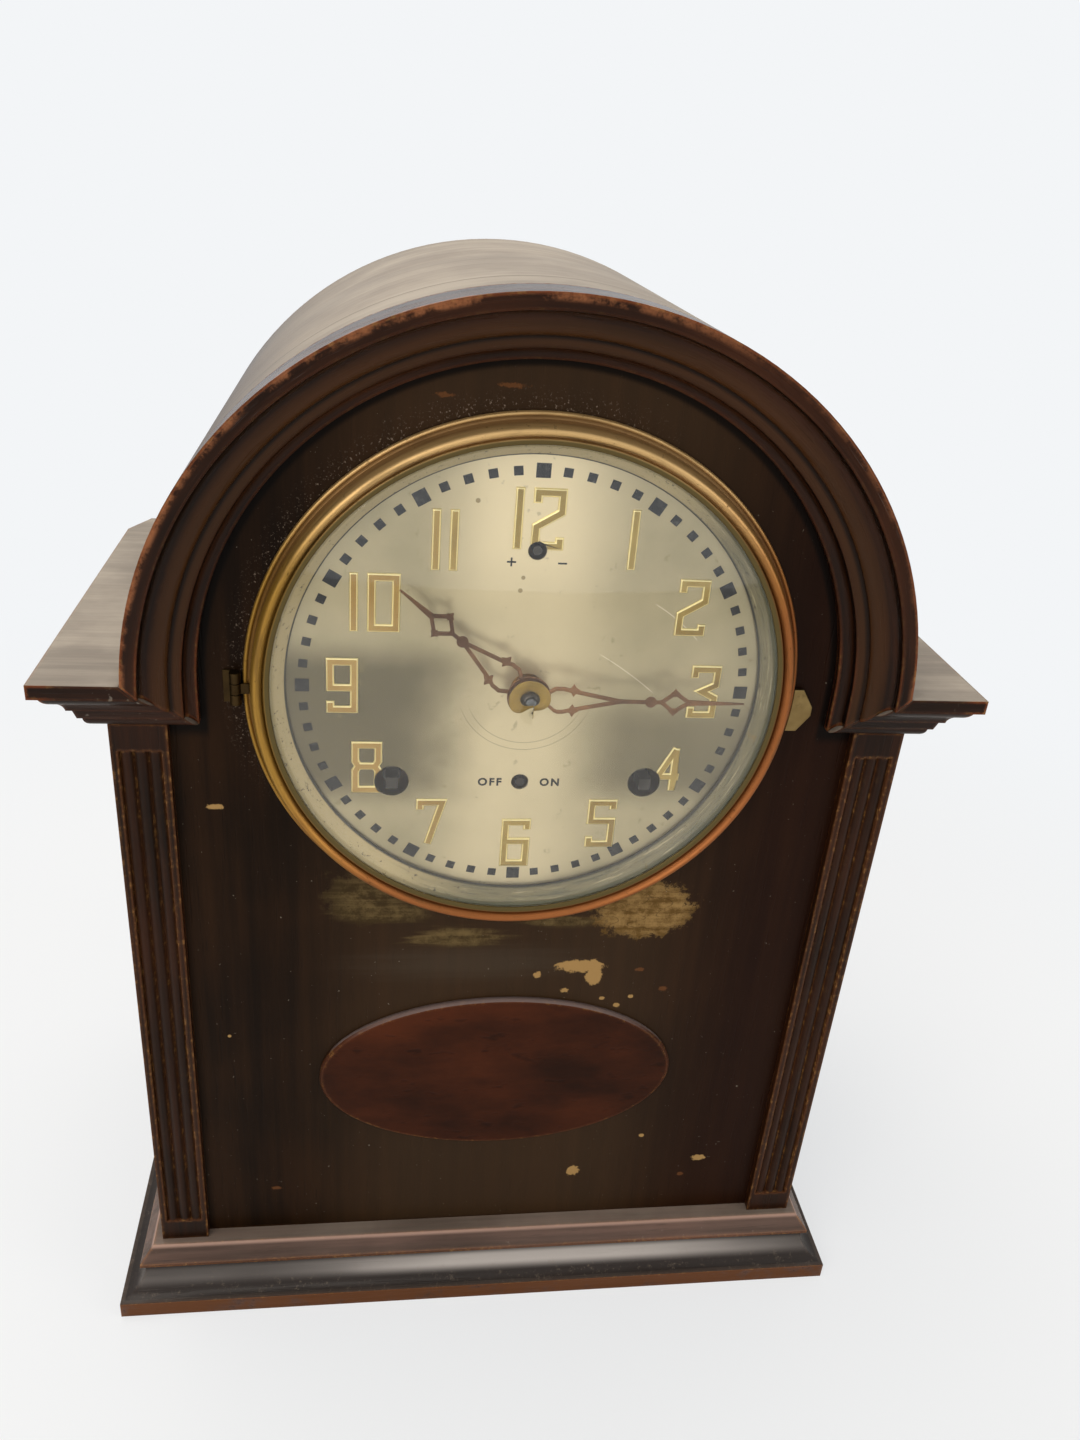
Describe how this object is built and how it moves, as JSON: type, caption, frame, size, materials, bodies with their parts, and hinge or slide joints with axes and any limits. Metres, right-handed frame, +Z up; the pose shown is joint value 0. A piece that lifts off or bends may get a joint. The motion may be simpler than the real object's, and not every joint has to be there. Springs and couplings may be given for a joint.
{
  "type": "round top shelf clock",
  "caption": "Round-topped mahogany shelf clock with hinged glazed bezel, silvered dial, pierced hands, pendulum movement, chime rods and rear door.",
  "frame": {"origin": "centre of the underside of the base, on the surface the clock stands on", "axes": "+Z up, +X to the right as seen from the front, the dial faces -Y"},
  "size_m": [0.2746, 0.166, 0.3639],
  "materials": {
    "mahogany": "dark satin polish, worn at the edges",
    "case_board": "plain oiled",
    "brass": "aged",
    "copper_brass": "aged, dull",
    "silvered": "silvered, brushed",
    "gilt": "gilt",
    "ivory_paint": "stained ivory",
    "crystal": "clear",
    "bronzed_steel": "bronzed",
    "steel": "polished",
    "blued_steel": "blued",
    "cast_iron": "japanned"
  },
  "bodies": {
    "case": {"base_plinth": "mahogany", "base_step": "mahogany", "front_panel": "mahogany", "side_panels": "mahogany", "arch_moulding": "mahogany", "shoulder_left": "mahogany", "shoulder_right": "mahogany", "pilaster_left": "mahogany", "pilaster_right": "mahogany", "oval_plaque": "mahogany", "roof_shell": "mahogany", "back_frame": "case_board", "dial_plate": "silvered", "hour_numerals": "gilt", "bezel_hinge_plate": "brass", "movement_front_plate": "brass", "movement_back_plate": "brass", "movement_pillars": "brass", "mounting_screws": "steel", "mainsprings": "blued_steel", "suspension_cock": "brass", "chime_stand": "cast_iron", "chime_rods": "steel", "door_hinge_plates": "brass"},
    "bezel": {"bezel_ring": "copper_brass", "bezel_glass": "crystal", "bezel_slip_ring": "ivory_paint", "bezel_hinge_leaf": "brass", "bezel_tab": "copper_brass"},
    "minute_arbor": {"centre_arbor": "steel", "minute_hand": "bronzed_steel", "hand_washer": "brass", "hand_nut": "steel"},
    "centre": {"centre_wheel": "brass"},
    "hour_pipe": {"hour_wheel": "brass", "hour_hand": "bronzed_steel"},
    "minute_wheel": {"minute_wheel": "brass"},
    "time_great": {"time_great_wheel": "brass"},
    "time_winder": {"time_winding_arbor": "steel"},
    "time_second": {"time_second_wheel": "brass"},
    "third": {"third_wheel": "brass"},
    "fourth": {"fourth_wheel": "brass"},
    "escape": {"escape_wheel": "brass"},
    "verge": {"verge": "steel"},
    "pendulum": {"pendulum_rod": "steel", "pendulum_bob": "brass"},
    "chime_great": {"chime_great_wheel": "brass"},
    "chime_winder": {"chime_winding_arbor": "steel"},
    "chime_second": {"chime_second_wheel": "brass"},
    "chime_drum": {"chime_drum": "brass"},
    "chime_fly": {"chime_fly": "brass"},
    "hammer_1": {"chime_hammer_1": "brass"},
    "hammer_2": {"chime_hammer_2": "brass"},
    "hammer_3": {"chime_hammer_3": "brass"},
    "hammer_4": {"chime_hammer_4": "brass"},
    "silence_lever": {"silence_lever": "steel"},
    "regulator": {"regulator_arbor": "steel"},
    "door": {"back_door": "case_board", "door_hinge_leaves": "brass"},
    "latch": {"door_latch": "brass"}
  },
  "joints": [
    {"name": "bezel_hinge", "type": "hinge", "parent": "case", "child": "bezel", "pos_m": [-0.0845, -0.0682, 0.25], "axis": [0, 0, -1], "range_deg": [0, 110]},
    {"name": "minute_turn", "type": "hinge", "parent": "case", "child": "minute_arbor", "pos_m": [0, -0.035, 0.25], "axis": [0, 1, 0], "continuous": true},
    {"name": "hour_turn", "type": "hinge", "parent": "case", "child": "hour_pipe", "pos_m": [0, -0.06, 0.25], "axis": [0, 1, 0], "continuous": true},
    {"name": "minute_wheel_turn", "type": "hinge", "parent": "case", "child": "minute_wheel", "pos_m": [0.00884, -0.056, 0.25884], "axis": [0, 1, 0], "continuous": true},
    {"name": "time_great_turn", "type": "hinge", "parent": "case", "child": "time_great", "pos_m": [0.0395, -0.035, 0.218], "axis": [0, 1, 0], "continuous": true},
    {"name": "time_winding", "type": "hinge", "parent": "time_great", "child": "time_winder", "pos_m": [0.0395, -0.035, 0.218], "axis": [0, 1, 0], "range_deg": [0, 2700]},
    {"name": "centre_turn", "type": "hinge", "parent": "case", "child": "centre", "pos_m": [0, -0.035, 0.25], "axis": [0, 1, 0], "continuous": true},
    {"name": "time_second_turn", "type": "hinge", "parent": "case", "child": "time_second", "pos_m": [0.02074, -0.035, 0.23841], "axis": [0, 1, 0], "continuous": true},
    {"name": "third_turn", "type": "hinge", "parent": "case", "child": "third", "pos_m": [-0.00799, -0.035, 0.26668], "axis": [0, 1, 0], "continuous": true},
    {"name": "fourth_turn", "type": "hinge", "parent": "case", "child": "fourth", "pos_m": [0.00401, -0.035, 0.27757], "axis": [0, 1, 0], "continuous": true},
    {"name": "escape_turn", "type": "hinge", "parent": "case", "child": "escape", "pos_m": [0, -0.035, 0.28824], "axis": [0, 1, 0], "continuous": true},
    {"name": "pendulum_swing", "type": "hinge", "parent": "case", "child": "pendulum", "pos_m": [0, -0.01, 0.3008], "axis": [0, 1, 0], "range_deg": [-4, 4]},
    {"name": "verge_swing", "type": "hinge", "parent": "case", "child": "verge", "pos_m": [0, -0.035, 0.3008], "axis": [0, 1, 0], "range_deg": [-4, 4]},
    {"name": "chime_great_turn", "type": "hinge", "parent": "case", "child": "chime_great", "pos_m": [-0.0395, -0.035, 0.218], "axis": [0, 1, 0], "continuous": true},
    {"name": "chime_winding", "type": "hinge", "parent": "chime_great", "child": "chime_winder", "pos_m": [-0.0395, -0.035, 0.218], "axis": [0, 1, 0], "range_deg": [0, 2700]},
    {"name": "chime_second_turn", "type": "hinge", "parent": "case", "child": "chime_second", "pos_m": [-0.01188, -0.035, 0.21569], "axis": [0, 1, 0], "continuous": true},
    {"name": "chime_drum_turn", "type": "hinge", "parent": "case", "child": "chime_drum", "pos_m": [0.0125, -0.035, 0.208], "axis": [0, 1, 0], "continuous": true},
    {"name": "chime_fly_turn", "type": "hinge", "parent": "case", "child": "chime_fly", "pos_m": [0.0155, -0.035, 0.19638], "axis": [0, 1, 0], "continuous": true},
    {"name": "hammer_1_lift", "type": "hinge", "parent": "case", "child": "hammer_1", "pos_m": [0.025, 0.002, 0.196], "axis": [0, -1, 0], "range_deg": [0, 12]},
    {"name": "hammer_2_lift", "type": "hinge", "parent": "case", "child": "hammer_2", "pos_m": [0.025, 0.009, 0.196], "axis": [0, -1, 0], "range_deg": [0, 12]},
    {"name": "hammer_3_lift", "type": "hinge", "parent": "case", "child": "hammer_3", "pos_m": [0.025, 0.016, 0.196], "axis": [0, -1, 0], "range_deg": [0, 12]},
    {"name": "hammer_4_lift", "type": "hinge", "parent": "case", "child": "hammer_4", "pos_m": [0.025, 0.023, 0.196], "axis": [0, -1, 0], "range_deg": [0, 12]},
    {"name": "silence_turn", "type": "hinge", "parent": "case", "child": "silence_lever", "pos_m": [0, -0.057, 0.218], "axis": [0, 1, 0], "range_deg": [0, 40]},
    {"name": "regulator_turn", "type": "hinge", "parent": "case", "child": "regulator", "pos_m": [0, -0.057, 0.293], "axis": [0, 1, 0], "range_deg": [-360, 360]},
    {"name": "door_hinge", "type": "hinge", "parent": "case", "child": "door", "pos_m": [0.075, 0.08085, 0.166], "axis": [0, 0, -1], "range_deg": [0, 110]},
    {"name": "latch_turn", "type": "hinge", "parent": "case", "child": "latch", "pos_m": [-0.0807, 0.0803, 0.166], "axis": [0, 1, 0], "range_deg": [0, 90]}
  ],
  "couplings": [
    {"joint": "hour_turn", "follows": "minute_turn", "ratio": 0.083333},
    {"joint": "minute_wheel_turn", "follows": "minute_turn", "ratio": -0.33333},
    {"joint": "time_second_turn", "follows": "centre_turn", "ratio": -0.5},
    {"joint": "time_great_turn", "follows": "centre_turn", "ratio": 0.083333},
    {"joint": "third_turn", "follows": "centre_turn", "ratio": -6.4},
    {"joint": "fourth_turn", "follows": "centre_turn", "ratio": 32},
    {"joint": "escape_turn", "follows": "centre_turn", "ratio": -120},
    {"joint": "verge_swing", "follows": "pendulum_swing", "ratio": 1},
    {"joint": "chime_second_turn", "follows": "chime_great_turn", "ratio": -6},
    {"joint": "chime_drum_turn", "follows": "chime_great_turn", "ratio": 30},
    {"joint": "chime_fly_turn", "follows": "chime_great_turn", "ratio": -150}
  ]
}
